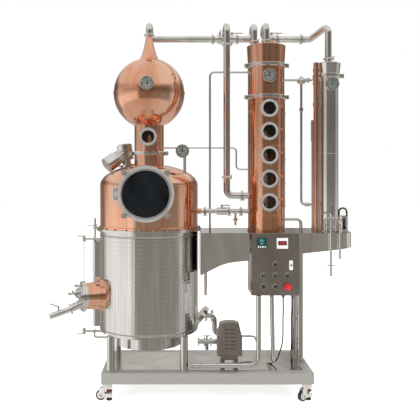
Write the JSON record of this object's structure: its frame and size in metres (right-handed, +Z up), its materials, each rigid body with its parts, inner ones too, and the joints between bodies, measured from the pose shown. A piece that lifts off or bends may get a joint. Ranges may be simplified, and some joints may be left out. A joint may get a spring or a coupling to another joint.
{
  "type": "copper hybrid pot and column still",
  "caption": "Skid-mounted spirit still: jacketed steel pot with copper hood and onion head, copper plate column, condenser, pump, control box and levelling casters.",
  "frame": {"origin": "middle of the whole still's footprint, on the floor", "axes": "+Z up, +X from the pot towards the condenser, +Y away from the operator who stands at the control box"},
  "size_m": [2.2366, 0.8884, 2.8154],
  "materials": {
    "copper": "polished copper with faint streaks",
    "polished_steel": "mirror polished stainless steel",
    "dimpled_steel": "stainless sheet with a fine dimple pattern",
    "satin_steel": "satin stainless steel",
    "brown_steel": "fine brushed steel, warm grey-brown",
    "black_plastic": "matt black moulding",
    "red_plastic": "glossy red moulding",
    "caster_grey": "light grey paint",
    "wheel_black": "black tyre",
    "clear_glass": "clear borosilicate glass",
    "dark_glass": "sight glass that looks dark over the unlit pot"
  },
  "bodies": {
    "skid": {"base_frame": "satin_steel", "kettle": "dimpled_steel", "copper_hood": "copper", "onion_head": "copper", "manway_frame": "satin_steel", "vapour_lines": "polished_steel", "clamps_and_bolts": "polished_steel", "column_sections": "copper", "column_trays": "copper", "sight_rings": "satin_steel", "clear_parts": "clear_glass", "condenser_shell": "polished_steel", "condenser_tubes": "satin_steel", "platform": "polished_steel", "control_box": "brown_steel", "gauge_cases": "polished_steel", "mixer_motor": "satin_steel", "outlet_neck": "copper", "valve_bodies": "polished_steel", "copper_riser": "copper", "service_pipes": "polished_steel", "spirit_safe": "polished_steel", "pump_motor": "brown_steel", "pump_body": "polished_steel"},
    "manway_door": {"manway_door": "satin_steel", "manway_glass": "dark_glass", "manway_knobs": "satin_steel"},
    "outlet_lid": {"outlet_lid": "polished_steel"},
    "outlet_lever": {"outlet_lever": "satin_steel"},
    "panel_door": {"panel_door": "brown_steel", "panel_instruments": "black_plastic"},
    "selector_knob": {"selector_knob": "black_plastic"},
    "heater_switch": {"heater_switch": "black_plastic"},
    "pump_switch": {"pump_switch": "black_plastic"},
    "mixer_switch": {"mixer_switch": "black_plastic"},
    "emergency_stop": {"emergency_stop": "red_plastic"},
    "onion_gauge_needle": {"onion_gauge_needle": "black_plastic"},
    "column_gauge_needle": {"column_gauge_needle": "black_plastic"},
    "condenser_gauge_needle": {"condenser_gauge_needle": "black_plastic"},
    "pot_gauge_needle": {"pot_gauge_needle": "black_plastic"},
    "vapour_valve_lever": {"vapour_valve_lever": "satin_steel"},
    "bypass_valve_lever": {"bypass_valve_lever": "satin_steel"},
    "column_valve_lever": {"column_valve_lever": "satin_steel"},
    "return_valve_lever": {"return_valve_lever": "satin_steel"},
    "level_cock_lever_top": {"level_cock_lever_top": "satin_steel"},
    "level_cock_lever_bottom": {"level_cock_lever_bottom": "satin_steel"},
    "mixer_shaft": {"mixer_shaft": "polished_steel"},
    "pump_impeller": {"pump_impeller": "polished_steel"},
    "caster_swivel_front_left": {"caster_swivel_front_left": "caster_grey"},
    "caster_wheel_front_left": {"caster_wheel_front_left": "wheel_black"},
    "levelling_foot_front_left": {"levelling_foot_front_left": "black_plastic"},
    "caster_swivel_front_right": {"caster_swivel_front_right": "caster_grey"},
    "caster_wheel_front_right": {"caster_wheel_front_right": "wheel_black"},
    "levelling_foot_front_right": {"levelling_foot_front_right": "black_plastic"},
    "caster_swivel_rear_left": {"caster_swivel_rear_left": "caster_grey"},
    "caster_wheel_rear_left": {"caster_wheel_rear_left": "wheel_black"},
    "levelling_foot_rear_left": {"levelling_foot_rear_left": "black_plastic"},
    "caster_swivel_rear_right": {"caster_swivel_rear_right": "caster_grey"},
    "caster_wheel_rear_right": {"caster_wheel_rear_right": "wheel_black"},
    "levelling_foot_rear_right": {"levelling_foot_rear_right": "black_plastic"}
  },
  "joints": [
    {"name": "manway_door_hinge", "type": "hinge", "parent": "skid", "child": "manway_door", "pos_m": [-0.61974, -0.40975, 1.5], "axis": [0, 0, 1], "range_deg": [-110, 0]},
    {"name": "outlet_lid_hinge", "type": "hinge", "parent": "skid", "child": "outlet_lid", "pos_m": [-0.92109, 0.00684, 0.732], "axis": [0, 0, 1], "range_deg": [-95, 0]},
    {"name": "outlet_lever_turn", "type": "hinge", "parent": "outlet_lid", "child": "outlet_lever", "pos_m": [-1.04797, -0.16897, 0.652], "axis": [0, 0, 1], "range_deg": [0, 90]},
    {"name": "panel_door_hinge", "type": "hinge", "parent": "skid", "child": "panel_door", "pos_m": [0.36126, -0.24175, 0.762], "axis": [0, 0, 1], "range_deg": [-110, 0]},
    {"name": "selector_knob_turn", "type": "hinge", "parent": "panel_door", "child": "selector_knob", "pos_m": [0.53626, -0.24575, 0.991], "axis": [0, 1, 0], "range_deg": [-45, 45]},
    {"name": "heater_switch_turn", "type": "hinge", "parent": "panel_door", "child": "heater_switch", "pos_m": [0.44926, -0.24575, 0.909], "axis": [0, 1, 0], "range_deg": [-45, 45]},
    {"name": "pump_switch_turn", "type": "hinge", "parent": "panel_door", "child": "pump_switch", "pos_m": [0.53626, -0.24575, 0.909], "axis": [0, 1, 0], "range_deg": [-45, 45]},
    {"name": "mixer_switch_turn", "type": "hinge", "parent": "panel_door", "child": "mixer_switch", "pos_m": [0.62326, -0.24575, 0.909], "axis": [0, 1, 0], "range_deg": [-45, 45]},
    {"name": "emergency_stop_press", "type": "slide", "parent": "panel_door", "child": "emergency_stop", "axis": [0, 1, 0], "range_m": [0, 0.006], "stiffness_N_per_m": 1500},
    {"name": "onion_gauge_needle_swing", "type": "hinge", "parent": "skid", "child": "onion_gauge_needle", "pos_m": [-0.39174, -0.24075, 2.3], "axis": [0, 1, 0], "range_deg": [-130, 130]},
    {"name": "column_gauge_needle_swing", "type": "hinge", "parent": "skid", "child": "column_gauge_needle", "pos_m": [0.50926, -0.12575, 2.373], "axis": [0, 1, 0], "range_deg": [-130, 130]},
    {"name": "condenser_gauge_needle_swing", "type": "hinge", "parent": "skid", "child": "condenser_gauge_needle", "pos_m": [0.99626, -0.03975, 2.326], "axis": [0, 1, 0], "range_deg": [-130, 130]},
    {"name": "pot_gauge_needle_swing", "type": "hinge", "parent": "skid", "child": "pot_gauge_needle", "pos_m": [-0.13574, -0.07575, 1.815], "axis": [0, 1, 0], "range_deg": [-130, 130]},
    {"name": "vapour_valve_lever_turn", "type": "hinge", "parent": "skid", "child": "vapour_valve_lever", "pos_m": [0.16226, 0.19425, 2.76], "axis": [0, 0, 1], "range_deg": [-90, 0]},
    {"name": "bypass_valve_lever_turn", "type": "hinge", "parent": "skid", "child": "bypass_valve_lever", "pos_m": [0.25726, 0.19425, 2.76], "axis": [0, 0, 1], "range_deg": [-90, 0]},
    {"name": "column_valve_lever_turn", "type": "hinge", "parent": "skid", "child": "column_valve_lever", "pos_m": [0.57126, 0.19425, 2.76], "axis": [0, 0, 1], "range_deg": [-90, 0]},
    {"name": "return_valve_lever_turn", "type": "hinge", "parent": "skid", "child": "return_valve_lever", "pos_m": [0.16826, 0.04425, 1.398], "axis": [0, 0, 1], "range_deg": [0, 90]},
    {"name": "level_cock_lever_top_turn", "type": "hinge", "parent": "skid", "child": "level_cock_lever_top", "pos_m": [-0.90274, 0.10425, 1.156], "axis": [0, 0, 1], "range_deg": [0, 90]},
    {"name": "level_cock_lever_bottom_turn", "type": "hinge", "parent": "skid", "child": "level_cock_lever_bottom", "pos_m": [-0.90274, 0.10425, 0.404], "axis": [0, 0, 1], "range_deg": [0, 90]},
    {"name": "mixer_shaft_spin", "type": "hinge", "parent": "skid", "child": "mixer_shaft", "pos_m": [-0.56674, 0.13425, 1.69548], "axis": [-0.1392, 0, 0.9903], "continuous": true},
    {"name": "pump_impeller_spin", "type": "hinge", "parent": "skid", "child": "pump_impeller", "pos_m": [0.21226, 0.01425, 0.41], "axis": [0, 1, 0], "continuous": true},
    {"name": "caster_swivel_front_left_turn", "type": "hinge", "parent": "skid", "child": "caster_swivel_front_left", "pos_m": [-0.68274, -0.22375, 0.124], "axis": [0, 0, 1], "continuous": true},
    {"name": "caster_wheel_front_left_roll", "type": "hinge", "parent": "caster_swivel_front_left", "child": "caster_wheel_front_left", "pos_m": [-0.72874, -0.22375, 0.038], "axis": [0, -1, 0], "continuous": true},
    {"name": "levelling_foot_front_left_screw", "type": "slide", "parent": "caster_swivel_front_left", "child": "levelling_foot_front_left", "axis": [0, 0, 1], "range_m": [-0.01, 0.008]},
    {"name": "caster_swivel_front_right_turn", "type": "hinge", "parent": "skid", "child": "caster_swivel_front_right", "pos_m": [0.76926, -0.22375, 0.124], "axis": [0, 0, 1], "continuous": true},
    {"name": "caster_wheel_front_right_roll", "type": "hinge", "parent": "caster_swivel_front_right", "child": "caster_wheel_front_right", "pos_m": [0.73158, -0.25013, 0.038], "axis": [0.5736, -0.8192, 0], "continuous": true},
    {"name": "levelling_foot_front_right_screw", "type": "slide", "parent": "caster_swivel_front_right", "child": "levelling_foot_front_right", "axis": [0, 0, 1], "range_m": [-0.01, 0.008]},
    {"name": "caster_swivel_rear_left_turn", "type": "hinge", "parent": "skid", "child": "caster_swivel_rear_left", "pos_m": [-0.68274, 0.31225, 0.124], "axis": [0, 0, 1], "continuous": true},
    {"name": "caster_wheel_rear_left_roll", "type": "hinge", "parent": "caster_swivel_rear_left", "child": "caster_wheel_rear_left", "pos_m": [-0.72874, 0.31225, 0.038], "axis": [0, -1, 0], "continuous": true},
    {"name": "levelling_foot_rear_left_screw", "type": "slide", "parent": "caster_swivel_rear_left", "child": "levelling_foot_rear_left", "axis": [0, 0, 1], "range_m": [-0.01, 0.008]},
    {"name": "caster_swivel_rear_right_turn", "type": "hinge", "parent": "skid", "child": "caster_swivel_rear_right", "pos_m": [0.76926, 0.31225, 0.124], "axis": [0, 0, 1], "continuous": true},
    {"name": "caster_wheel_rear_right_roll", "type": "hinge", "parent": "caster_swivel_rear_right", "child": "caster_wheel_rear_right", "pos_m": [0.73158, 0.28586, 0.038], "axis": [0.5736, -0.8192, 0], "continuous": true},
    {"name": "levelling_foot_rear_right_screw", "type": "slide", "parent": "caster_swivel_rear_right", "child": "levelling_foot_rear_right", "axis": [0, 0, 1], "range_m": [-0.01, 0.008]}
  ]
}
